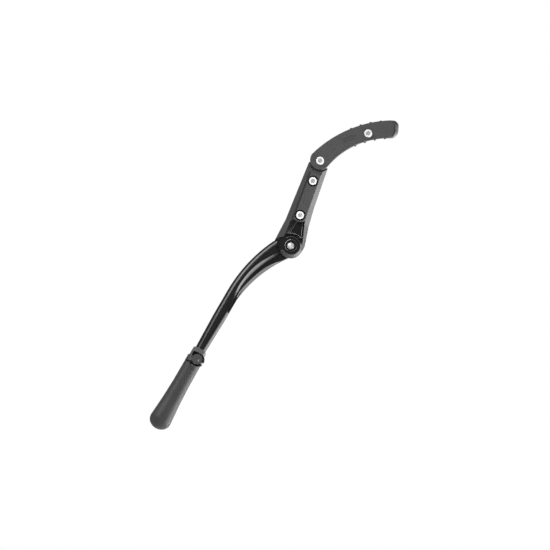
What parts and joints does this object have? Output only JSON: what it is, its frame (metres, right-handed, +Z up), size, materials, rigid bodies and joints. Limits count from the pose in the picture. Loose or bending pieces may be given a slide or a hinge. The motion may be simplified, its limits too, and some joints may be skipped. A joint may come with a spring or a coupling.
{
  "type": "bicycle kickstand",
  "caption": "Rear-mounted bicycle kickstand: cast bracket clamped on the chain stay, curved arm to the seat stay, folding leg with a sliding foot set by a push button.",
  "frame": {"origin": "on the chain stay's centre line, midway between the two clamp bolts", "axes": "+X along the chain stay towards the rear axle, +Y across towards the wheel, +Z up along the two clamp bolts; the leg is down at rest"},
  "size_m": [0.1561, 0.1124, 0.4362],
  "materials": {
    "cast_grey": "satin",
    "leg_black": "gloss",
    "rubber_black": "matte",
    "screw_steel": "gloss",
    "nut_steel": "satin",
    "washer_steel": "satin",
    "bush_bronze": "satin",
    "pin_steel": "gloss",
    "spring_steel": "satin",
    "boot_black": "satin",
    "collar_grey": "satin",
    "button_grey": "satin",
    "yoke_steel": "satin"
  },
  "bodies": {
    "bracket": {"bracket_body": "cast_grey", "front_stay_pad": "rubber_black", "upper_stay_bolt": "screw_steel", "lower_stay_bolt": "screw_steel", "arm_pivot_screw": "screw_steel", "arm_pivot_nut": "nut_steel", "arm_friction_washer": "washer_steel", "pivot_pin": "pin_steel", "pin_head_washer": "washer_steel", "pin_circlip": "spring_steel", "front_thrust_washer": "washer_steel", "rear_thrust_washer": "washer_steel", "detent_spring": "spring_steel"},
    "stay_jaw": {"rear_stay_jaw": "cast_grey", "rear_stay_pad": "rubber_black", "upper_stay_nut": "nut_steel", "lower_stay_nut": "nut_steel"},
    "arm": {"seat_arm": "cast_grey", "arm_pad": "rubber_black", "seat_clamp_screw": "screw_steel"},
    "clamp_jaw": {"seat_jaw": "cast_grey", "seat_jaw_pad": "rubber_black", "seat_clamp_nut": "nut_steel"},
    "leg": {"leg": "leg_black", "hub_bush": "bush_bronze"},
    "foot": {"foot_boot": "boot_black", "lock_collar": "collar_grey", "button_spring": "spring_steel"},
    "button": {"lock_button": "button_grey", "lock_yoke": "yoke_steel"}
  },
  "joints": [
    {"name": "stay_clamp", "type": "slide", "parent": "bracket", "child": "stay_jaw", "axis": [0, 1, 0], "range_m": [-0.003, 0.006]},
    {"name": "arm_swing", "type": "hinge", "parent": "bracket", "child": "arm", "pos_m": [-0.0005, -0.0125, 0.047], "axis": [0, -1, 0], "range_deg": [0, 40]},
    {"name": "seat_clamp", "type": "slide", "parent": "arm", "child": "clamp_jaw", "axis": [0, 1, 0], "range_m": [0, 0.005]},
    {"name": "leg_fold", "type": "hinge", "parent": "bracket", "child": "leg", "pos_m": [0.0025, -0.02, -0.0612], "axis": [0, -0.9744, 0.225], "range_deg": [0, 105], "deforming": ["detent_spring"]},
    {"name": "foot_slide", "type": "slide", "parent": "leg", "child": "foot", "axis": [-0.1625, -0.222, -0.9614], "range_m": [0, 0.045]},
    {"name": "button_press", "type": "slide", "parent": "foot", "child": "button", "axis": [0, 0.9744, -0.225], "range_m": [0, 0.0022], "stiffness_N_per_m": 1500, "springref_m": -0.002, "deforming": ["button_spring"]}
  ]
}
